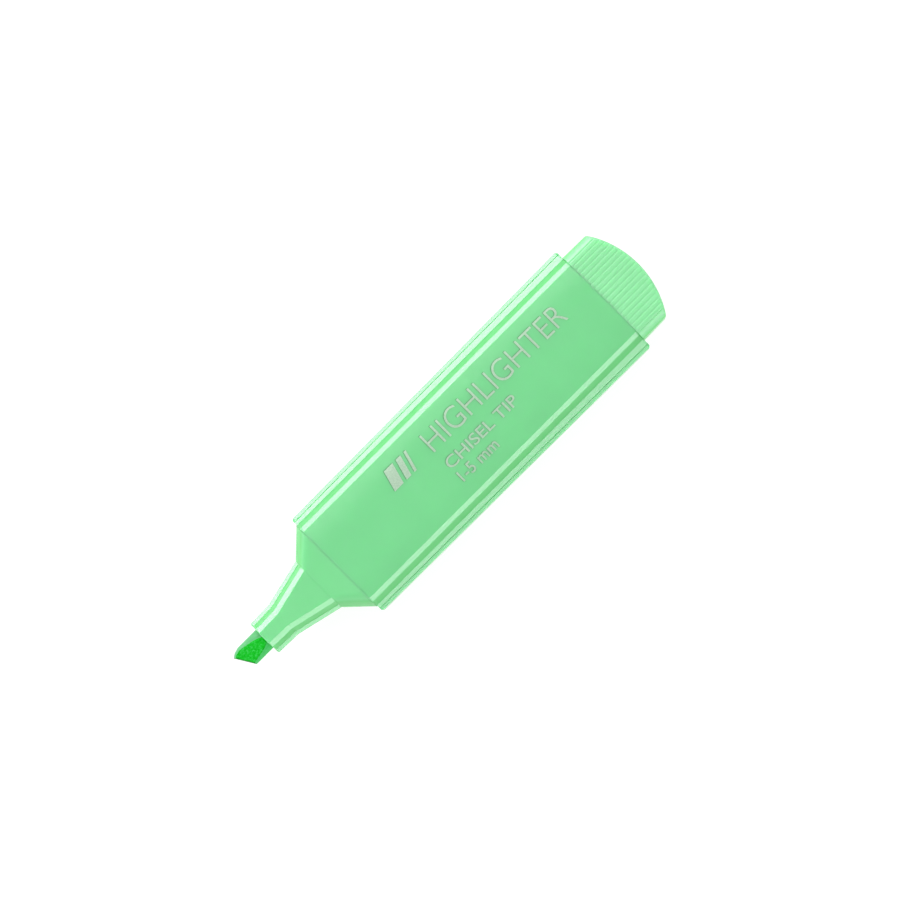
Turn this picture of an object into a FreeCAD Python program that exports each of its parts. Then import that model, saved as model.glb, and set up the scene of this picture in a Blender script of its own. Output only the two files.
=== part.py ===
import FreeCAD, Part
import math
import os

# A flat-barrelled highlighter pen with its cap off, lying on one broad face.
# Millimetres. The nib points to -X, +Z is up, and the origin is under the middle of the pen.
# Lengths along the pen are stations measured back from the tip of the nib.

LENGTH = 113.0
THICKNESS = 15.0
MID_Z = THICKNESS / 2

# Stations
NECK_FRONT = 7.3
NECK_FLARE = 12.7
NECK_REAR = 22.65
BARREL_FRONT = 27.95
BARREL_REAR = 103.2
PLUG_CORNER = 109.55

# Barrel section: half widths and heights above the middle plane
PANEL_TURN = 6.9
PANEL_HALF = 9.3
PANEL_DROP = 0.34
PANEL_CROWN_RADIUS = 31.0
BEVEL_HALF = 10.25
BEVEL_Z = 6.5
FLANK_HALF = 11.3
FLANK_Z = 4.0
LEDGE_HALF = 12.05
LEDGE_Z = 3.6
RAIL_LINE_WIDTH = 0.14
RAIL_LINE_DEPTH = 0.12
RAIL_HALF_FRONT = 12.87
RAIL_HALF_REAR = 13.37
RAIL_Z = 3.2
EDGE_RADIUS = 0.2
LIP = 0.06
RAIL_LIP = 0.36

# Barrel bore, and the skirts of the two pieces that plug into it
BORE_HALF = 9.7
BORE_Z = 6.0
BORE_CORNER = 2.0
SLIDE_GAP = 0.05
SKIRT_LENGTH = 8.0
SKIRT_WALL = 1.2
SKIRT_LEAD = 0.5
SKIRT_LEAD_DROP = 0.25
SKIRT_INNER_CORNER = 0.9

# Ink reservoir, and the ribs in the barrel that hold it
CORE_HALF = 8.5
CORE_Z = 5.2
CORE_CORNER = 4.9
FILM_WALL = 0.15
CORE_FRONT = 36.6
CORE_REAR = 94.4
SPEAR_GAP = 0.3
RIB_WIDTH = 0.7
RIB_SETBACK = 0.9
RIB_ROOT = 0.2
WALL_RIB_Y = 3.0

# Nib: a felt rod ground to a slanted chisel, with a blunt spear at its rear
NIB_RADIUS = 2.54
NIB_CLEARANCE = 0.05
NIB_NOSE_RADIUS = 1.55
NIB_NOSE_LENGTH = 2.1
NIB_NOSE_MIDDLE = (0.9, 2.2)    # station and radius of a point half way round the nose
NIB_REAR = 45.0
NIB_SPEAR_LENGTH = 3.5
NIB_SPEAR_RADIUS = 1.3
NIB_EDGE_SKEW = 31.5
NIB_EDGE_LEAN = 8.0
NIB_EDGE_Z = 1.31
NIB_FACE_SKEW = 19.4
NIB_FACE_SLOPE = 11.4

# Nib holder: a tube inside the front section, with vent channels along its bore
HOLDER_RADIUS = 3.8
HOLDER_REAR = 36.2
VENT_WIDTH = 0.8
VENT_DEPTH = 0.45
VENT_ANGLES = (90, 210, 330)

# Neck sections: station, half width and height of the centre face, and the flank's rise
NECK_LIP = 0.18
NECK_SECTIONS = [
    (NECK_FRONT + NECK_LIP, 1.37, 4.0, 1.75),
    (NECK_FLARE, 1.5, 4.25, 1.85),
    (NECK_REAR + 0.3, 3.88, 5.62, 2.5),
]
NECK_BEVEL_WIDTH = 1.05
NECK_BEVEL_DROP = 0.62
NECK_FLANK_WIDTH = 0.88
NECK_WING_WIDTH = 0.7
NECK_WING_DROP = 0.38

# Shoulder sections: station, half width, height and edge radius
SHOULDER_HALF = 11.45
SHOULDER_Z = 7.41
SHOULDER_LEAN = 2.0
SHOULDER_SIDE = 0.44    # where its widest line is, as a part of its height
SHOULDER_SECTIONS = [
    (NECK_REAR, 6.45, 5.66, 2.5),
    (NECK_REAR + 0.3, 6.8, 5.78, 2.6),
    (BARREL_FRONT - 0.12, SHOULDER_HALF, SHOULDER_Z, 3.7),
    (BARREL_FRONT, SHOULDER_HALF - 0.04, SHOULDER_Z - 0.02, 3.66),
]

# The front section's hollow starts behind the neck
HOLLOW_SETBACK = 2.2
HOLLOW_HALF = 5.2
HOLLOW_Z = 4.2

# End plug
PLUG_HALF = 11.5
PLUG_HALF_REAR = 11.35
PLUG_Z = 7.3
PLUG_CORNER_RADIUS = 2.6
PLUG_RIM_RADIUS = 0.5
RIM_TOLERANCE = 0.01
PLUG_WALL = 1.4
GATE_RADIUS = 0.8
GATE_DEPTH = 0.2
GRIP_GROOVES = 20
GRIP_PITCH = 1.03
GRIP_WIDTH = 0.86
GRIP_DEPTH = 0.09
GRIP_RISE = 0.05        # the grooves' cutters start this far above the surface
GRIP_FRONT = BARREL_REAR + 0.15

TOOL = 40.0     # cutters reach this far past what they cut
OVER = 1.0      # and bores and hollows run this far past an open end
HERE = FreeCAD.Vector(0, 0, 0)
ALONG = FreeCAD.Vector(1, 0, 0)
UP = FreeCAD.Vector(0, 0, 1)


def at(station):
    """X of a station behind the nib's tip."""
    return station - LENGTH / 2


def point(station, y, z):
    """A point given by its station, and its y and z from the pen's axis."""
    return FreeCAD.Vector(at(station), y, MID_Z + z)


def rounded_wire(corners, radii):
    """A closed wire through corners, each rounded to its own radius. A radius of 0 stays sharp."""
    starts, middles, ends = [], [], []
    for index, corner in enumerate(corners):
        back = (corners[index - 1] - corner).normalize()
        ahead = (corners[(index + 1) % len(corners)] - corner).normalize()
        half_angle = back.getAngle(ahead) / 2
        run = radii[index] / math.tan(half_angle)
        lift = radii[index] / math.sin(half_angle) - radii[index]
        starts.append(corner + back * run)
        ends.append(corner + ahead * run)
        middles.append(corner + (back + ahead).normalize() * lift)
    edges = []
    for index, radius in enumerate(radii):
        edges.append(Part.LineSegment(ends[index - 1], starts[index]).toShape())
        if radius > 0:
            edges.append(Part.Arc(starts[index], middles[index], ends[index]).toShape())
    return Part.Wire(edges)


def section(station, quadrant):
    """A section that mirrors about both middle planes, from the (y, z, radius) of one quadrant."""
    back = quadrant[::-1]
    ring = quadrant + [(y, -z, r) for y, z, r in back]
    ring += [(-y, -z, r) for y, z, r in quadrant] + [(-y, z, r) for y, z, r in back]
    return rounded_wire([point(station, y, z) for y, z, r in ring], [r for y, z, r in ring])


def box_section(station, half_width, half_height, radius):
    """A rectangle with rounded corners."""
    return section(station, [(half_width, half_height, radius)])


def loft(wires):
    return Part.makeLoft(wires, True, True)


def cylinder(front, rear, radius):
    """A round solid on the pen's axis, between two stations."""
    return Part.makeCylinder(radius, rear - front, point(front, 0, 0), ALONG)


def block(front, rear, y_low, y_high, z_low, z_high):
    """A plain block between two stations."""
    corner = point(front, y_low, z_low)
    return Part.makeBox(rear - front, y_high - y_low, z_high - z_low, corner)


def barrel_section(station, flare, at_lip=False):
    """Panel, bevel, flank and stepped side rail, drawn in where the section is at an end's lip.

    The ledge reaches further out by the flare, and comes down so that its slope stays the same.
    """
    inset = LIP if at_lip else 0
    ledge_half = LEDGE_HALF + flare
    ledge_z = LEDGE_Z - flare * (FLANK_Z - LEDGE_Z) / (LEDGE_HALF - FLANK_HALF)
    rail_z = RAIL_Z - LEDGE_Z + ledge_z
    rail_half = RAIL_HALF_FRONT + flare - (RAIL_LIP - LIP if at_lip else 0)
    quadrant = [
        (PANEL_TURN, MID_Z, PANEL_CROWN_RADIUS),
        (PANEL_HALF, MID_Z - PANEL_DROP, EDGE_RADIUS),
        (BEVEL_HALF, BEVEL_Z, EDGE_RADIUS),
        (FLANK_HALF, FLANK_Z, EDGE_RADIUS),
        (ledge_half, ledge_z, 0),
        (ledge_half + RAIL_LINE_WIDTH / 3, ledge_z - RAIL_LINE_DEPTH, 0),
        (ledge_half + RAIL_LINE_WIDTH, ledge_z - RAIL_LINE_DEPTH / 2, 0),
        (rail_half, rail_z, EDGE_RADIUS),
    ]
    return section(station, [(y - inset, z - inset, r) for y, z, r in quadrant])


def barrel():
    """The hollow body: open at both ends, with ribs inside that hold the reservoir."""
    flare = RAIL_HALF_REAR - RAIL_HALF_FRONT
    outside = loft([
        barrel_section(BARREL_FRONT, 0, at_lip=True),
        barrel_section(BARREL_FRONT + RAIL_LIP, 0),
        barrel_section(BARREL_REAR - RAIL_LIP, flare),
        barrel_section(BARREL_REAR, flare, at_lip=True),
    ])
    bore = loft([
        box_section(BARREL_FRONT, BORE_HALF, BORE_Z, BORE_CORNER),
        box_section(BARREL_REAR, BORE_HALF, BORE_Z, BORE_CORNER),
    ])
    front, rear = CORE_FRONT + RIB_SETBACK, CORE_REAR - RIB_SETBACK
    half_rib = RIB_WIDTH / 2
    ribs = []
    for side in (-1, 1):
        for y in (-WALL_RIB_Y, WALL_RIB_Y):
            low, high = sorted((side * (CORE_Z + FILM_WALL), side * (BORE_Z + RIB_ROOT)))
            ribs.append(block(front, rear, y - half_rib, y + half_rib, low, high))
        low, high = sorted((side * (CORE_HALF + FILM_WALL), side * (BORE_HALF + RIB_ROOT)))
        ribs.append(block(front, rear, low, high, -half_rib, half_rib))
    return outside.cut(bore).fuse(ribs).removeSplitter()


def skirt(shoulder_station, end_station):
    """The hollow sleeve that slides into the barrel's bore, with a lead-in at its free end."""
    half = BORE_HALF - SLIDE_GAP
    height = BORE_Z - SLIDE_GAP
    corner = BORE_CORNER - SLIDE_GAP
    inward = 1 if end_station > shoulder_station else -1
    drop = SKIRT_LEAD_DROP
    return loft([
        box_section(shoulder_station, half, height, corner),
        box_section(end_station - inward * SKIRT_LEAD, half, height, corner),
        box_section(end_station, half - drop, height - drop, corner - drop),
    ])


def skirt_hollow(station):
    """A section of the space inside a skirt."""
    wall = SLIDE_GAP + SKIRT_WALL
    return box_section(station, BORE_HALF - wall, BORE_Z - wall, SKIRT_INNER_CORNER)


def neck_section(station, flat, height, step, inset=0):
    """Raised centre face, bevel, flank and a low side wing. step is the rise of the flank."""
    bevel = flat + NECK_BEVEL_WIDTH
    foot = bevel + NECK_FLANK_WIDTH
    bevel_z = height - NECK_BEVEL_DROP
    foot_z = bevel_z - step
    quadrant = [
        (flat, height, EDGE_RADIUS),
        (bevel, bevel_z, EDGE_RADIUS),
        (foot, foot_z, EDGE_RADIUS / 2),
        (foot + NECK_WING_WIDTH, foot_z - NECK_WING_DROP, EDGE_RADIUS),
    ]
    return section(station, [(y - inset, z - inset, r) for y, z, r in quadrant])


def shoulder_section(station, half_width, height, radius):
    """A softened box with leaning sides, which runs from the neck's outline to the barrel's."""
    top = (half_width - SHOULDER_LEAN, height, radius)
    side = (half_width, height * SHOULDER_SIDE, radius)
    return section(station, [top, side])


def front_section():
    """Shoulder and stepped neck in one moulding, with the nib's holder tube inside."""
    lip = neck_section(NECK_FRONT, *NECK_SECTIONS[0][1:], inset=NECK_LIP)
    neck = loft([lip] + [neck_section(*values) for values in NECK_SECTIONS])
    shoulder = loft([shoulder_section(*values) for values in SHOULDER_SECTIONS])
    skirt_end = BARREL_FRONT + SKIRT_LENGTH
    body = neck.fuse([shoulder, skirt(BARREL_FRONT, skirt_end)])

    hollow = loft([
        box_section(NECK_REAR + HOLLOW_SETBACK, HOLLOW_HALF, HOLLOW_Z, SKIRT_INNER_CORNER),
        skirt_hollow(BARREL_FRONT),
        skirt_hollow(skirt_end + OVER),
    ])
    holder = cylinder(NECK_REAR, HOLDER_REAR, HOLDER_RADIUS)
    bore_radius = NIB_RADIUS + NIB_CLEARANCE
    front, rear = NECK_FRONT - OVER, HOLDER_REAR + OVER
    half = VENT_WIDTH / 2
    channels = [cylinder(front, rear, bore_radius)]
    for angle in VENT_ANGLES:
        vent = block(front, rear, -half, half, 0, bore_radius + VENT_DEPTH)
        vent.rotate(point(0, 0, 0), ALONG, angle)
        channels.append(vent)
    return body.cut(hollow).fuse(holder).cut(channels).removeSplitter()


def nib_blank():
    """The felt rod before grinding: a rounded nose, a straight shank and a blunt spear."""
    station, radius = NIB_NOSE_MIDDLE
    corners = [
        point(NIB_NOSE_LENGTH, 0, NIB_RADIUS),
        point(NIB_REAR - NIB_SPEAR_LENGTH, 0, NIB_RADIUS),
        point(NIB_REAR, 0, NIB_SPEAR_RADIUS),
        point(NIB_REAR, 0, 0),
        point(0, 0, 0),
        point(0, 0, NIB_NOSE_RADIUS),
    ]
    nose = Part.Arc(corners[-1], point(station, 0, radius), corners[0])
    profile = Part.Face(Part.Wire([nose.toShape()] + Part.makePolygon(corners).Edges))
    return profile.revolve(point(0, 0, 0), ALONG, 360)


def heading(degrees):
    """A level direction, turned from +X towards +Y."""
    angle = math.radians(degrees)
    return FreeCAD.Vector(math.cos(angle), math.sin(angle), 0)


def half_space(place, outward):
    """A large block with one face through a place, on the side that outward points to."""
    cutter = Part.makeBox(2 * TOOL, 2 * TOOL, TOOL, FreeCAD.Vector(-TOOL, -TOOL, 0))
    cutter.Placement = FreeCAD.Placement(place, FreeCAD.Rotation(UP, outward))
    return cutter


def nib():
    """The chisel nib: two flats rise back from a working edge that is skewed in plan."""
    tip = point(0, NIB_NOSE_RADIUS, 0)
    slope = math.tan(math.radians(NIB_FACE_SLOPE))
    lean = math.tan(math.radians(NIB_EDGE_LEAN))
    cutters = []
    for side in (-1, 1):
        away = UP * side
        cutters.append(half_space(tip + away * NIB_EDGE_Z, away - heading(NIB_FACE_SKEW) * slope))
        cutters.append(half_space(tip, away * lean - heading(NIB_EDGE_SKEW)))
    return nib_blank().cut(cutters)


def bundle(wall):
    """The reservoir's outline, grown by a wall."""
    return loft([
        box_section(CORE_FRONT, CORE_HALF + wall, CORE_Z + wall, CORE_CORNER + wall),
        box_section(CORE_REAR, CORE_HALF + wall, CORE_Z + wall, CORE_CORNER + wall),
    ])


def reservoir_core():
    """The bundle of ink-soaked fibre, with the hole that the nib's spear stands in."""
    spear_hole = cylinder(CORE_FRONT - OVER, NIB_REAR + SPEAR_GAP, NIB_RADIUS + NIB_CLEARANCE)
    return bundle(0).cut(spear_hole)


def reservoir_film():
    """The thin plastic wrap round the fibre, open at both ends."""
    return bundle(FILM_WALL).cut(bundle(0))


def plug_plan(inset):
    """The plug's outline seen from above, drawn in by an inset: straight sides and an arched end."""
    front_y, corner_y = PLUG_HALF - inset, PLUG_HALF_REAR - inset
    corners = [
        point(BARREL_REAR, front_y, -TOOL),
        point(PLUG_CORNER, corner_y, -TOOL),
        point(PLUG_CORNER, -corner_y, -TOOL),
        point(BARREL_REAR, -front_y, -TOOL),
    ]
    crown = Part.Arc(corners[1], point(LENGTH - inset, 0, -TOOL), corners[2])
    sides = Part.makePolygon([corners[2], corners[3], corners[0], corners[1]])
    outline = Part.Face(Part.Wire(sides.Edges + [crown.toShape()]))
    return outline.extrude(UP * 2 * TOOL)


def grip_groove(distance, side):
    """A V-shaped groove along the plug, at a distance round its section from the middle line."""
    level = PLUG_HALF - PLUG_CORNER_RADIUS
    turn = max(0.0, abs(distance) - level) / PLUG_CORNER_RADIUS
    half = GRIP_WIDTH / 2
    x = at(GRIP_FRONT)
    rim_left, rim_right = FreeCAD.Vector(x, -half, GRIP_RISE), FreeCAD.Vector(x, half, GRIP_RISE)
    valley = FreeCAD.Vector(x, 0, -GRIP_DEPTH)
    triangle = Part.Face(Part.makePolygon([rim_left, valley, rim_right, rim_left]))
    groove = triangle.extrude(ALONG * TOOL)
    hand = 1 if distance > 0 else -1
    groove.rotate(HERE, ALONG, -hand * math.degrees(turn))
    y = min(abs(distance), level) + PLUG_CORNER_RADIUS * math.sin(turn)
    z = PLUG_Z - PLUG_CORNER_RADIUS * (1 - math.cos(turn))
    groove.translate(FreeCAD.Vector(0, hand * y, z))
    if side < 0:
        groove.rotate(HERE, ALONG, 180)
    groove.translate(UP * MID_Z)
    return groove


def end_plug():
    """The hollow rear closure: a ribbed, arched cap on a skirt that fills the barrel's bore."""
    prism = loft([
        box_section(BARREL_REAR, PLUG_HALF, PLUG_Z, PLUG_CORNER_RADIUS),
        box_section(LENGTH + OVER, PLUG_HALF, PLUG_Z, PLUG_CORNER_RADIUS),
    ])
    cap = plug_plan(0).common(prism)
    rim = [edge for edge in cap.Edges if edge.CenterOfMass.x > at(PLUG_CORNER) - RIM_TOLERANCE]
    cap = cap.makeFillet(PLUG_RIM_RADIUS, rim)
    first = -(GRIP_GROOVES - 1) / 2 * GRIP_PITCH
    marks = [cylinder(LENGTH - GATE_DEPTH, LENGTH + OVER, GATE_RADIUS)]
    for side in (-1, 1):
        for index in range(GRIP_GROOVES):
            marks.append(grip_groove(first + index * GRIP_PITCH, side))
    skirt_end = BARREL_REAR - SKIRT_LENGTH
    sleeve = skirt(BARREL_REAR, skirt_end)
    space = loft([skirt_hollow(skirt_end - OVER), skirt_hollow(LENGTH)])
    hollow = space.common(plug_plan(PLUG_WALL).fuse(sleeve))
    return cap.cut(marks).fuse(sleeve).cut(hollow).removeSplitter()


PIECES = {
    "barrel": barrel,
    "front_section": front_section,
    "nib": nib,
    "reservoir_core": reservoir_core,
    "reservoir_film": reservoir_film,
    "end_plug": end_plug,
}

os.makedirs("parts", exist_ok=True)
for name, make in PIECES.items():
    shape = make()
    box = shape.BoundBox
    print(f"{name}: {len(shape.Solids)} solid, valid {shape.isValid()}, {shape.Volume:.1f} mm3,",
          f"x {box.XMin:.2f} to {box.XMax:.2f}, y {box.YMin:.2f} to {box.YMax:.2f},",
          f"z {box.ZMin:.2f} to {box.ZMax:.2f}")
    shape.exportStep(f"parts/{name}.step")
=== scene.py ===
import math

import bmesh
import bpy
from mathutils import Matrix, Vector, noise
from mathutils.bvhtree import BVHTree


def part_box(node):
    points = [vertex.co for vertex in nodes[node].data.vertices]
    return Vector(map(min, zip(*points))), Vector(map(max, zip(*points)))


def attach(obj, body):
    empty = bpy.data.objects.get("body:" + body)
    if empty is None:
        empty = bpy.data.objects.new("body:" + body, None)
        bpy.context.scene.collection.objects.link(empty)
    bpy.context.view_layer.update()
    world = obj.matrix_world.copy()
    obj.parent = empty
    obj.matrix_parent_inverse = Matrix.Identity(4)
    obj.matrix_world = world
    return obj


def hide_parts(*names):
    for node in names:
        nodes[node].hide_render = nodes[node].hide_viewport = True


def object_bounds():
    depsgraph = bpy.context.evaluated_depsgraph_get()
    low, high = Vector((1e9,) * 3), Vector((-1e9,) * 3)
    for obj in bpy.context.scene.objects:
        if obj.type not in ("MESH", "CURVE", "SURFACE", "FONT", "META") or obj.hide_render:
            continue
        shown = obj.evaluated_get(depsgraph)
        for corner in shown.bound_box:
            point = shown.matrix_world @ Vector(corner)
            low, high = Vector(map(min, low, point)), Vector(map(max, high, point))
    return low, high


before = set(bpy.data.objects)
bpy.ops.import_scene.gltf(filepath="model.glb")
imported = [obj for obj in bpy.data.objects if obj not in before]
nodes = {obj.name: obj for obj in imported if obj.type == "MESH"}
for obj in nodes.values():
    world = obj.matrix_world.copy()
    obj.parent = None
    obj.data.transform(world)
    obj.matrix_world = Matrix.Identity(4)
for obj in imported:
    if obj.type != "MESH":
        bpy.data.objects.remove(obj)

# An uncapped flat highlighter lying on a pale floor. Metres, in the row's frame:
# the nib points to -X, +Y is across the broad face and +Z is up.

MM = 0.001
cad_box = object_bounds()

# The camera is rolled a little from straight above the pen, and takes in this width of the floor
VIEW_CENTRE = Vector((3.71, 0.45, 7.5)) * MM
VIEW_WIDTH = 180.3 * MM
VIEW_DISTANCE = 1.2
VIEW_ROLL = math.radians(1.8)
SENSOR = 36.0
CLIP_NEAR, CLIP_FAR = 0.01, 20.0

# Two strip lights along the pen's sides, in metres and degrees. A radiance of 1 is the white of the floor
STRIP_LENGTH, STRIP_WIDTH = 0.90, 0.31
STRIP_DISTANCE = 0.8
STRIP_ELEVATION = 27
STRIP_TURN = 3
KEY_RADIANCE = 9.5
FILL_RADIANCE = 5.4

# The sky's radiance overhead, at the horizon, and in its glows at +Y and past both ends of the pen, and
# the parts of a direction between which each of them fades in
SKY_RADIANCE = 0.59
HORIZON_RADIANCE = 0.12
SKY_GLOW = 1.3
END_GLOW = 2.3
OVERHEAD_Z = (0.50, 0.80)
GLOW_Y = (0.05, 0.34)
GLOW_Z = (0.80, 0.92)
END_X = (0.80, 0.95)

# The floor, which lies just below the pen so that the two don't share a surface, and the light it gives
FLOOR_GAP = 0.01 * MM
FLOOR_SIZE = 6.0
FLOOR_GREY = [(0.3, (0.27, 0.27, 0.27)), (0.7, (0.29, 0.29, 0.29))]
FLOOR_LIGHT = 0.80

# The moulded plastic: its pale greens, its gloss, the light under its skin, and the shine of its steep
# sides and the painted shade that darkens their colour, which turn into the broad faces' over this span of
# the surface's Z direction
BARREL_GREEN = (0.154, 0.562, 0.230)
FRONT_GREEN = (0.168, 0.588, 0.242)
PLUG_GREEN = (0.222, 0.650, 0.300)
PLASTIC_ROUGHNESS = 0.19
PLUG_ROUGHNESS = 0.36
PLASTIC_IOR = 1.6
GLOW_WEIGHT = 0.5
GLOW_COLOUR = (0.5, 1.0, 0.6)
GLOW_REACH = 2.5 * MM
CLOUDING = 0.015
BROAD_SHINE = 0.5
SIDE_SHINE = 0.12
SIDE_PAINTED_SHADE = (0.78, 0.87, 0.70)
SIDE_SPAN = (0.45, 0.70)

# The other materials' colours, from the darkest of their pattern to the lightest
GROUND_INK = [(0.25, (0.002, 0.12, 0.015)), (0.48, (0.002, 0.34, 0.010)), (0.62, (0.002, 0.43, 0.010)),
              (0.80, (0.040, 0.50, 0.075))]
# These two skin colours are painted light: the paler one for the +Y side, which faces the key light, the
# more saturated one for the -Y side
KEY_SIDE_SKIN = [(0.3, (0.070, 0.335, 0.115)), (0.7, (0.136, 0.44, 0.192))]
FAR_SIDE_SKIN = [(0.3, (0.036, 0.41, 0.078)), (0.7, (0.070, 0.54, 0.134))]
TANK_INK = [(0.4, (0.01, 0.36, 0.04)), (0.7, (0.06, 0.58, 0.12)), (1.0, (0.30, 0.80, 0.36))]
FILM_GREEN = [(0.3, (0.30, 0.66, 0.36)), (0.7, (0.52, 0.80, 0.56))]
FOIL_SILVER = [(0.3, (0.42, 0.61, 0.44)), (0.7, (0.56, 0.74, 0.57))]
# The next colour is painted shade: the darker green of the copy set beside each foil stroke, standing for
# the shadow on its pressed-in edge
PAINTED_EDGE_SHADOW_GREEN = [(0.3, (0.055, 0.240, 0.090)), (0.7, (0.090, 0.340, 0.135))]
FILM_ALPHA = 0.62
FILM_IOR = 1.5

# The felt skin's colour is painted light: paler on its +Y side, which faces the key light, and a more
# saturated green on its -Y side, changing over this span of its Y direction
SKIN_LIGHT_SPAN = (-0.5, 0.3)

# The materials' patterns, as cycles per millimetre along X, Y and Z
CLOUDS = (0.12, 0.12, 0.12)
FLOW_LINES = (0.15, 3.0, 3.0)
GRAIN = (6.0, 6.0, 6.0)
SCUFFS = (0.6, 9.0, 9.0)
CUT_FIBRES = (1.0, 1.0, 1.0)
LONG_FIBRES = (0.5, 7.0, 7.0)
THREADS = (0.12, 9.0, 9.0)
SOAKING = (0.06, 0.25, 0.25)
DRAWN_LINES = (0.05, 4.0, 4.0)
WRINKLES = (0.5, 0.3, 0.3)
FOIL_MOTTLE = (3.0, 3.0, 3.0)
SHADE_MOTTLE = (2.0, 2.0, 2.0)
FLOOR_MOTTLE = (0.02, 0.02, 0.02)

# The nib's grinding, as its CAD node has it
NIB_EDGE_SKEW = math.radians(31.5)
NIB_EDGE_LEAN = math.radians(8.0)
NIB_EDGE_Z = 1.31 * MM
NIB_FACE_SKEW = math.radians(19.4)
NIB_FACE_SLOPE = math.radians(11.4)

# The nib's rod before grinding: its blunt nose, the cheek behind it, the full width and the rear spear
NIB_NOSE = 1.55 * MM
NIB_CHEEK_LENGTH, NIB_CHEEK = 0.9 * MM, 2.2 * MM
NIB_TAPER = 2.1 * MM
NIB_SPEAR_LENGTH, NIB_SPEAR = 3.5 * MM, 1.3 * MM
NIB_STEPS = 72
NIB_LOW, NIB_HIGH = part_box("nib")
NIB_AXIS_Z = (NIB_LOW.z + NIB_HIGH.z) / 2
NIB_TIP = Vector((NIB_LOW.x, NIB_NOSE, NIB_AXIS_Z))

# The felt's mesh cells, and how near to a ground plane and how square to it a ground face is
NIB_VOXEL = 0.12 * MM
GRINDING_DEPTH = 0.12 * MM
GRINDING_FACING = 0.8

# Where painted shade darkens the felt behind the working edge, and how deep the felt's surface lies, with
# its tufts' and pits' cycles per millimetre. Millimetres
EDGE_SHADE_START, EDGE_SHADE_END = 0.1, 0.4
EDGE_SHADE_DARKENING = 0.35
FELT_DEPTH = 0.02
TUFT_DEPTH, TUFT_CYCLES = 0.02, Vector((2.2, 4.5, 4.5))
PIT_DEPTH, PIT_CYCLES = 0.012, 7.0

# The print's places on the panel, in millimetres: left, low, width and height
TITLE_PLACE = (1.2, 2.0, 37.8, 4.5)
TIP_PLACE = (1.15, -2.8, 19.1, 2.4)
STROKE_PLACE = (1.25, -6.3, 10.1, 2.4)
TITLE_WEIGHT = -0.012
SMALL_WEIGHT = 0.004
BARS_LEFT, BARS_LOW = -9.85, 2.1
BAR_WIDTHS = (2.4, 1.3, 0.6)
BAR_GAP, BAR_HEIGHT, BAR_SLANT = 0.9, 4.4, 1.2

# How the print lies on the panel: where the rays that find the panel start, the strips it is cut into,
# how proud the foil and its painted shade stand, and the shift of the painted shade in millimetres
PANEL_TOP = cad_box[1].z
RAY_START = 10 * MM
PRINT_STRIP = 0.5 * MM
FOIL_PROUD = 0.015 * MM
SHADE_PROUD = 0.008 * MM
SHADE_SHIFT = (-0.13, 0.15)


# ---------------------------------------------------------------- node helpers

class Nodes:
    """The node tree of a material or world under construction, with short calls for what is common."""

    def __init__(self, owner):
        owner.use_nodes = True
        self.tree = owner.node_tree

    def add(self, kind, settings=(), **inputs):
        node = self.tree.nodes.new(kind)
        for key, value in dict(settings).items():
            setattr(node, key, value)
        for key, value in inputs.items():
            self.feed(node.inputs[key.replace("_", " ")], value)
        return node

    def feed(self, socket, value):
        if isinstance(value, bpy.types.NodeSocket):
            self.tree.links.new(value, socket)
        else:
            socket.default_value = value

    def maths(self, operation, *values):
        node = self.add("ShaderNodeMath", {"operation": operation})
        for socket, value in zip(node.inputs, values):
            self.feed(socket, value)
        return node.outputs[0]

    def span(self, value, low, high, start=0.0, end=1.0, kind="LINEAR"):
        """A value from start to end, mapped onto low to high."""
        return self.add("ShaderNodeMapRange", {"interpolation_type": kind}, Value=value, From_Min=start,
                        From_Max=end, To_Min=low, To_Max=high).outputs["Result"]

    def fade(self, value, low, high, start, end):
        """The same with soft ends."""
        return self.span(value, low, high, start, end, "SMOOTHSTEP")


class Shader(Nodes):
    """A material under construction."""

    def __init__(self, name):
        self.material = bpy.data.materials.new(name)
        super().__init__(self.material)
        self.principled = self.tree.nodes["Principled BSDF"]

    def set(self, **inputs):
        for key, value in inputs.items():
            self.feed(self.principled.inputs[key.replace("_", " ")], value)

    def place(self):
        """Object coordinates, which are the row's own coordinates in metres."""
        return self.add("ShaderNodeTexCoord").outputs["Object"]

    def facing(self, axis):
        """How far the surface faces along an axis, from -1 to 1."""
        normal = self.add("ShaderNodeTexCoord").outputs["Normal"]
        return self.add("ShaderNodeSeparateXYZ", Vector=normal).outputs[axis]

    def stretched(self, pattern):
        """Object coordinates times a pattern's cycles per millimetre."""
        return self.add("ShaderNodeMapping", Vector=self.place(),
                        Scale=[cycles / MM for cycles in pattern]).outputs["Vector"]

    def noise(self, pattern, detail=3.0, scale=1.0, roughness=0.5):
        return self.add("ShaderNodeTexNoise", Vector=self.stretched(pattern), Scale=scale, Detail=detail,
                        Roughness=roughness).outputs["Fac"]

    def ramp(self, factor, stops):
        node = self.add("ShaderNodeValToRGB", Fac=factor)
        elements = node.color_ramp.elements
        while len(elements) < len(stops):
            elements.new(0.5)
        for element, (place, colour) in zip(elements, stops):
            element.position = place
            element.color = (*colour, 1)
        return node.outputs["Color"]

    def mix(self, factor, first, second):
        return self.add("ShaderNodeMixRGB", Fac=factor, Color1=first, Color2=second).outputs["Color"]

    def bump(self, height, strength, depth, **below):
        """A bump from a height, over another bump where one is given as Normal."""
        return self.add("ShaderNodeBump", Height=height, Strength=strength, Distance=depth,
                        **below).outputs["Normal"]


def heading(angle):
    """A level direction, turned from +X towards +Y."""
    return Vector((math.cos(angle), math.sin(angle), 0))


# ---------------------------------------------------------------- materials

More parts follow.
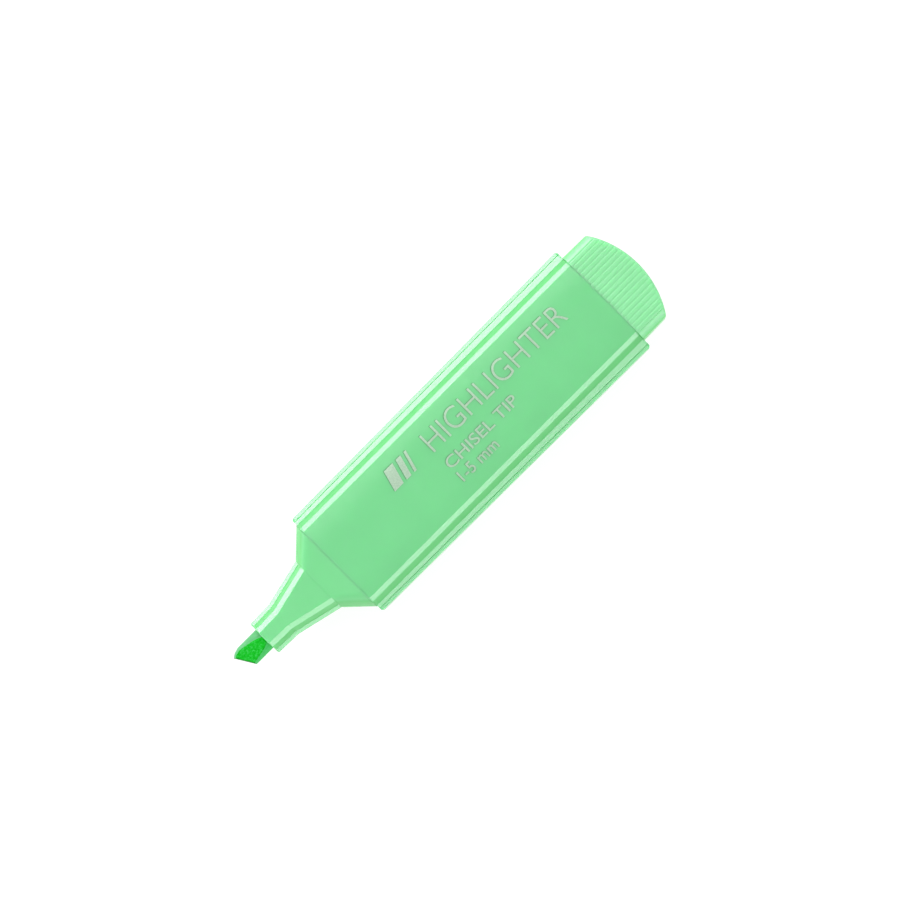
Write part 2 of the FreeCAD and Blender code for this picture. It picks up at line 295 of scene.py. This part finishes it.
def moulded_plastic(name, colour, roughness=PLASTIC_ROUGHNESS):
    """Pale injection-moulded plastic, lit under its skin, with polished broad faces and duller sides, whose
    colour has painted shade darkening it.
    """
    shader = Shader(name)
    cloudy = shader.noise(CLOUDS, detail=2.0)
    flow = shader.noise(FLOW_LINES, detail=4.0)
    grain = shader.noise(GRAIN, detail=2.0)
    scuffs = shader.noise(SCUFFS, detail=5.0, roughness=0.7)

    def paint(tone):
        return shader.ramp(cloudy, [(0.35, [value * (1 - CLOUDING) for value in tone]),
                                    (0.65, [value * (1 + CLOUDING) for value in tone])])

    # Painted shade: the steep sides get a darker colour than the broad faces, by which way the surface
    # faces
    side = [value * shade_factor for value, shade_factor in zip(colour, SIDE_PAINTED_SHADE)]
    broad = shader.fade(shader.maths("ABSOLUTE", shader.facing("Z")), 0, 1, *SIDE_SPAN)
    skin = shader.bump(grain, strength=0.04, depth=0.006 * MM)
    shader.set(
        Base_Color=shader.mix(broad, paint(side), paint(colour)),
        Specular_IOR_Level=shader.span(broad, SIDE_SHINE, BROAD_SHINE),
        Roughness=shader.span(scuffs, roughness - 0.04, roughness + 0.06),
        Subsurface_Weight=GLOW_WEIGHT,
        Subsurface_Radius=GLOW_COLOUR,
        Subsurface_Scale=GLOW_REACH,
        IOR=PLASTIC_IOR,
        Normal=shader.bump(flow, strength=0.04, depth=0.01 * MM, Normal=skin),
    )
    return shader.material


def ground_felt():
    """The nib's ground faces: cut fibre ends soaked with ink, speckled, and with painted shade that darkens
    them at the working edge.
    """
    shader = Shader("ground_felt")
    specks = shader.add("ShaderNodeTexVoronoi", Vector=shader.stretched(CUT_FIBRES), Scale=5.5)
    tufts = shader.noise(CUT_FIBRES, detail=6.0, scale=1.6, roughness=0.7)
    speckle = shader.maths("MULTIPLY_ADD", specks.outputs["Distance"], 0.25, tufts)
    along = shader.add("ShaderNodeVectorMath", {"operation": "DOT_PRODUCT"})
    shader.feed(along.inputs[0], shader.place())
    shader.feed(along.inputs[1], heading(NIB_EDGE_SKEW) / MM)
    edge = NIB_TIP.dot(heading(NIB_EDGE_SKEW)) / MM
    # Painted shade: the felt is darkened in a band just behind the working edge
    dark = shader.span(along.outputs["Value"], -EDGE_SHADE_DARKENING, 0, edge + EDGE_SHADE_START,
                       edge + EDGE_SHADE_END)
    mixed = shader.maths("ADD", speckle, dark)
    shader.set(
        Base_Color=shader.ramp(mixed, GROUND_INK),
        Roughness=0.92,
        Specular_IOR_Level=0.12,
        Sheen_Weight=0.05,
        Sheen_Roughness=0.5,
        Normal=shader.bump(mixed, strength=0.7, depth=0.05 * MM),
    )
    return shader.material


def felt_skin():
    """The rod's unground side: paler, with fibres that run along it, and painted light that makes it paler
    on its +Y side and a more saturated green on its -Y side.
    """
    shader = Shader("felt_skin")
    fibres = shader.noise(LONG_FIBRES, detail=5.0, roughness=0.65)
    # Painted light: the skin's colour follows which way it faces along Y
    key_side_weight = shader.fade(shader.facing("Y"), 0, 1, *SKIN_LIGHT_SPAN)
    shader.set(
        Base_Color=shader.mix(key_side_weight, shader.ramp(fibres, FAR_SIDE_SKIN), shader.ramp(fibres, KEY_SIDE_SKIN)),
        Roughness=0.8,
        Specular_IOR_Level=0.25,
        Sheen_Weight=0.15,
        Sheen_Roughness=0.4,
        Normal=shader.bump(fibres, strength=0.6, depth=0.05 * MM),
    )
    return shader.material


def tank_fibre():
    """The reservoir's bundled fibre: fine parallel threads, unevenly soaked."""
    shader = Shader("tank_fibre")
    threads = shader.noise(THREADS, detail=5.0, roughness=0.7)
    soak = shader.noise(SOAKING, detail=2.0)
    shader.set(
        Base_Color=shader.ramp(shader.maths("MULTIPLY_ADD", soak, 0.5, threads), TANK_INK),
        Roughness=0.85,
        Sheen_Weight=0.3,
        Normal=shader.bump(threads, strength=0.8, depth=0.05 * MM),
    )
    return shader.material


def wrap_film():
    """The thin plastic wrap round the fibre, with faint drawn lines and wrinkles."""
    shader = Shader("wrap_film")
    lines = shader.noise(DRAWN_LINES)
    wrinkles = shader.noise(WRINKLES)
    shader.set(
        Base_Color=shader.ramp(lines, FILM_GREEN),
        Roughness=shader.span(wrinkles, 0.12, 0.3),
        Alpha=FILM_ALPHA,
        IOR=FILM_IOR,
        Normal=shader.bump(wrinkles, strength=0.5, depth=0.15 * MM),
    )
    return shader.material


def print_foil():
    """Silver-grey foil lettering, very slightly uneven."""
    shader = Shader("print_foil")
    cover = shader.noise(FOIL_MOTTLE, detail=4.0)
    shader.set(
        Base_Color=shader.ramp(cover, FOIL_SILVER),
        Metallic=0.8,
        Roughness=shader.span(cover, 0.30, 0.42),
        Normal=shader.bump(cover, strength=0.2, depth=0.01 * MM),
    )
    return shader.material


def print_painted_shadow():
    """Painted shade for the edge that the foil is pressed in behind: darker green, broken up a little."""
    shader = Shader("print_painted_shadow")
    cover = shader.noise(SHADE_MOTTLE, detail=4.0)
    shader.set(
        Base_Color=shader.ramp(cover, PAINTED_EDGE_SHADOW_GREEN),
        Roughness=0.5,
        Normal=shader.bump(cover, strength=0.2, depth=0.01 * MM),
    )
    return shader.material


def floor_paint():
    """A plain pale floor. The light it gives keeps the shadows soft and faint."""
    shader = Shader("floor_paint")
    shader.set(
        Base_Color=shader.ramp(shader.noise(FLOOR_MOTTLE, detail=2.0), FLOOR_GREY),
        Roughness=0.9,
        Specular_IOR_Level=0.1,
        Emission_Color=(1, 1, 1, 1),
        Emission_Strength=FLOOR_LIGHT,
    )
    return shader.material


# ---------------------------------------------------------------- pieces

def dress(node, material):
    """Gives a CAD node its finish."""
    slots = nodes[node].data.materials
    slots.clear()
    slots.append(material)


def piece(name, mesh, body):
    """Links a finished mesh as a piece that rides on a body."""
    made = bpy.data.objects.new(name, mesh)
    bpy.context.scene.collection.objects.link(made)
    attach(made, body)
    return made


barrel_surface = BVHTree.FromObject(nodes["barrel"], bpy.context.evaluated_depsgraph_get())


def panel_height(x, y):
    """Z of the barrel's upper broad face under a point, in metres."""
    hit = barrel_surface.ray_cast(Vector((x, y, PANEL_TOP + RAY_START)), Vector((0, 0, -1)))
    return hit[0].z


def lay_on_panel(bm, proud):
    """Cuts a slab into strips and lays it on the panel: its faces at z of -1 and 1 go just in and out."""
    low = min(vertex.co.y for vertex in bm.verts)
    high = max(vertex.co.y for vertex in bm.verts)
    for index in range(1, math.ceil((high - low) / PRINT_STRIP)):
        everything = bm.verts[:] + bm.edges[:] + bm.faces[:]
        cut = Vector((0, low + index * PRINT_STRIP, 0))
        bmesh.ops.bisect_plane(bm, geom=everything, plane_co=cut, plane_no=(0, 1, 0))
    for vertex in bm.verts:
        vertex.co.z = panel_height(vertex.co.x, vertex.co.y) + vertex.co.z * proud


def slanted_bar(left, low, width, height):
    """A flat slanted bar, as a slab from z of -1 to 1. Millimetres."""
    bm = bmesh.new()
    outline = [(left, low), (left + width, low), (left + width + BAR_SLANT, low + height),
               (left + BAR_SLANT, low + height)]
    face = bm.faces.new([bm.verts.new((x, y, -1)) for x, y in outline])
    lifted = bmesh.ops.extrude_face_region(bm, geom=[face])["geom"]
    tops = [item for item in lifted if isinstance(item, bmesh.types.BMVert)]
    bmesh.ops.translate(bm, verts=tops, vec=(0, 0, 2))
    bmesh.ops.recalc_face_normals(bm, faces=bm.faces)
    return bm


def lettering(words, weight, left, low, width, height):
    """A line of plain sans lettering as a slab from z of -1 to 1, sized to a box. Millimetres."""
    curve = bpy.data.curves.new("lettering", "FONT")
    curve.body = words
    curve.extrude = 1.0
    curve.offset = weight
    curve.resolution_u = 6
    drawn = bpy.data.objects.new("lettering", curve)
    bpy.context.scene.collection.objects.link(drawn)
    bpy.context.view_layer.update()
    mesh = bpy.data.meshes.new_from_object(drawn)
    bpy.data.objects.remove(drawn)
    bpy.data.curves.remove(curve)
    bm = bmesh.new()
    bm.from_mesh(mesh)
    bpy.data.meshes.remove(mesh)
    xs = [vertex.co.x for vertex in bm.verts]
    ys = [vertex.co.y for vertex in bm.verts]
    across, up = width / (max(xs) - min(xs)), height / (max(ys) - min(ys))
    for vertex in bm.verts:
        vertex.co.x = left + (vertex.co.x - min(xs)) * across
        vertex.co.y = low + (vertex.co.y - min(ys)) * up
    bmesh.ops.remove_doubles(bm, verts=bm.verts, dist=0.0005)
    return bm


def print_on_panel(name, slab, material, proud, shift=(0, 0)):
    """Turns a slab into a printed piece on the barrel's upper broad face."""
    bmesh.ops.translate(slab, verts=slab.verts, vec=(*shift, 0))
    bmesh.ops.scale(slab, verts=slab.verts, vec=(MM, MM, 1))
    lay_on_panel(slab, proud)
    mesh = bpy.data.meshes.new(name)
    slab.to_mesh(mesh)
    slab.free()
    mesh.materials.append(material)
    piece(name, mesh, "barrel")


def printing():
    """Generic print in pressed foil: three slanted bars of falling width and three lines of plain words,
    each with a darker copy beside it as painted shade.
    """
    foil, shade = print_foil(), print_painted_shadow()
    shapes = {}
    left = BARS_LEFT
    for index, width in enumerate(BAR_WIDTHS):
        shapes[f"print_bar_{index + 1}"] = (slanted_bar, left, BARS_LOW, width, BAR_HEIGHT)
        left += width + BAR_GAP
    shapes["print_title"] = (lettering, "HIGHLIGHTER", TITLE_WEIGHT, *TITLE_PLACE)
    shapes["print_tip"] = (lettering, "CHISEL TIP", SMALL_WEIGHT, *TIP_PLACE)
    shapes["print_width"] = (lettering, "1-5 mm", SMALL_WEIGHT, *STROKE_PLACE)
    for name, (draw, *values) in shapes.items():
        print_on_panel(name, draw(*values), foil, FOIL_PROUD)
        # Each piece also gets a darker copy, shifted a little towards -X and +Y and lying just under the
        # foil: painted shade for the foil's pressed-in edge
        print_on_panel(name + "_shade", draw(*values), shade, SHADE_PROUD, SHADE_SHIFT)


def nib_planes():
    """The four ground planes, as a place and an outward direction each: two flats and the leaning edge."""
    slope, lean = math.tan(NIB_FACE_SLOPE), math.tan(NIB_EDGE_LEAN)
    planes = []
    for side in (-1, 1):
        away = Vector((0, 0, side))
        flat = away - heading(NIB_FACE_SKEW) * slope
        edge = away * lean - heading(NIB_EDGE_SKEW)
        planes.append((NIB_TIP + away * NIB_EDGE_Z, flat.normalized()))
        planes.append((NIB_TIP, edge.normalized()))
    return planes


def ground_rod(planes):
    """The nib's rod, turned from its profile and cut by the ground planes, as a mesh."""
    front, rear = NIB_LOW.x, NIB_HIGH.x
    radius = (NIB_HIGH.y - NIB_LOW.y) / 2
    profile = [(front, 0), (front, NIB_NOSE), (front + NIB_CHEEK_LENGTH, NIB_CHEEK),
               (front + NIB_TAPER, radius), (rear - NIB_SPEAR_LENGTH, radius), (rear, NIB_SPEAR), (rear, 0)]
    bm = bmesh.new()
    verts = [bm.verts.new((x, 0, r)) for x, r in profile]
    edges = [bm.edges.new(pair) for pair in zip(verts, verts[1:])]
    bmesh.ops.spin(bm, geom=verts + edges, cent=(0, 0, 0), axis=(1, 0, 0), angle=math.tau, steps=NIB_STEPS)
    bmesh.ops.remove_doubles(bm, verts=bm.verts, dist=0.001 * MM)
    bmesh.ops.translate(bm, verts=bm.verts, vec=(0, 0, NIB_AXIS_Z))
    for place, outward in planes:
        everything = bm.verts[:] + bm.edges[:] + bm.faces[:]
        bmesh.ops.bisect_plane(bm, geom=everything, plane_co=place, plane_no=outward, clear_outer=True)
        open_edges = [edge for edge in bm.edges if edge.is_boundary]
        bmesh.ops.holes_fill(bm, edges=open_edges, sides=0)
    bmesh.ops.recalc_face_normals(bm, faces=bm.faces)
    mesh = bpy.data.meshes.new("felt_nib")
    bm.to_mesh(mesh)
    bm.free()
    return mesh


def felt_nib():
    """The nib as pressed felt: the ground rod, with soft edges and a fibrous surface."""
    planes = nib_planes()
    nib = piece("felt_nib", ground_rod(planes), "nib")
    remesh = nib.modifiers.new("remesh", "REMESH")
    remesh.mode = "VOXEL"
    remesh.voxel_size = NIB_VOXEL
    smooth = nib.modifiers.new("smooth", "SMOOTH")
    smooth.iterations = 2
    smooth.factor = 0.5
    evaluated = nib.evaluated_get(bpy.context.evaluated_depsgraph_get())
    nib.data = bpy.data.meshes.new_from_object(evaluated)
    nib.modifiers.clear()
    nib.data.materials.append(felt_skin())
    nib.data.materials.append(ground_felt())
    for polygon in nib.data.polygons:
        polygon.use_smooth = True
        gaps = [(polygon.center - place).dot(outward) for place, outward in planes]
        facings = [polygon.normal.dot(outward) for place, outward in planes]
        ground = any(gap > -GRINDING_DEPTH and facing > GRINDING_FACING
                     for gap, facing in zip(gaps, facings))
        polygon.material_index = 1 if ground else 0
    normals = [vertex.normal.copy() for vertex in nib.data.vertices]
    for vertex, normal in zip(nib.data.vertices, normals):
        place = vertex.co / MM
        tuft = TUFT_DEPTH * noise.noise(place * TUFT_CYCLES)
        pit = PIT_DEPTH * noise.noise(place * PIT_CYCLES)
        vertex.co -= normal * (FELT_DEPTH + tuft + pit) * MM
    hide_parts("nib")


# ---------------------------------------------------------------- stage, light and camera

def stage():
    bpy.ops.mesh.primitive_plane_add(size=FLOOR_SIZE, location=(0, 0, -FLOOR_GAP))
    floor = bpy.context.active_object
    floor.name = "floor"
    floor.data.materials.append(floor_paint())


def strip_light(name, azimuth, radiance):
    """A long light that faces the pen, by its azimuth from +Y towards -X and the radiance of its face."""
    up, turn = math.radians(STRIP_ELEVATION), math.radians(azimuth)
    level = STRIP_DISTANCE * math.cos(up)
    place = Vector((-level * math.sin(turn), level * math.cos(turn), STRIP_DISTANCE * math.sin(up)))
    lamp = bpy.data.lights.new(name, "AREA")
    lamp.shape = "RECTANGLE"
    lamp.size, lamp.size_y = STRIP_LENGTH, STRIP_WIDTH
    lamp.energy = radiance * math.pi * STRIP_LENGTH * STRIP_WIDTH
    strip = bpy.data.objects.new(name, lamp)
    bpy.context.scene.collection.objects.link(strip)
    strip.location = place
    strip.rotation_euler = (-place).to_track_quat("-Z", "Y").to_euler()


def sky():
    """Pale light from overhead that falls off towards the horizon, with a glow at +Y and past both ends."""
    world = bpy.data.worlds.new("studio")
    sphere = Nodes(world)
    direction = sphere.add("ShaderNodeTexCoord").outputs["Generated"]
    x, y, z = sphere.add("ShaderNodeSeparateXYZ", Vector=direction).outputs
    overhead = sphere.fade(z, HORIZON_RADIANCE, SKY_RADIANCE, *OVERHEAD_Z)
    glow = sphere.maths("MULTIPLY_ADD", sphere.fade(y, 0, SKY_GLOW, *GLOW_Y),
                        sphere.fade(z, 0, 1, *GLOW_Z), overhead)
    ends = sphere.fade(sphere.maths("ABSOLUTE", x), 0, END_GLOW, *END_X)
    background = sphere.tree.nodes["Background"]
    sphere.feed(background.inputs["Strength"], sphere.maths("ADD", glow, ends))
    sphere.feed(background.inputs["Color"], (1, 1, 1, 1))
    bpy.context.scene.world = world


def lights():
    """Two long strips beside the pen light its bevels and rails. The one at +Y is brighter."""
    strip_light("key_strip", STRIP_TURN, KEY_RADIANCE)
    strip_light("fill_strip", 180 - STRIP_TURN, FILL_RADIANCE)
    sky()


def camera():
    """Straight above the pen, rolled so that it runs from lower left to upper right."""
    back = Vector((0, -math.sin(VIEW_ROLL), math.cos(VIEW_ROLL)))
    up = Vector((1, 1, 0))
    up = (up - up.dot(back) * back).normalized()
    right = up.cross(back)
    data = bpy.data.cameras.new("camera")
    data.sensor_width = SENSOR
    data.lens = SENSOR * VIEW_DISTANCE / VIEW_WIDTH
    data.clip_start, data.clip_end = CLIP_NEAR, CLIP_FAR
    eye = bpy.data.objects.new("camera", data)
    bpy.context.scene.collection.objects.link(eye)
    turned = Matrix((right, up, back)).transposed().to_4x4()
    eye.matrix_world = Matrix.Translation(VIEW_CENTRE + back * VIEW_DISTANCE) @ turned
    bpy.context.scene.camera = eye


bpy.context.scene.view_settings.view_transform = "Standard"

camera()
lights()
stage()
dress("barrel", moulded_plastic("barrel_green", BARREL_GREEN))
dress("front_section", moulded_plastic("front_green", FRONT_GREEN))
dress("end_plug", moulded_plastic("plug_green", PLUG_GREEN, PLUG_ROUGHNESS))
dress("reservoir_core", tank_fibre())
dress("reservoir_film", wrap_film())
felt_nib()
printing()
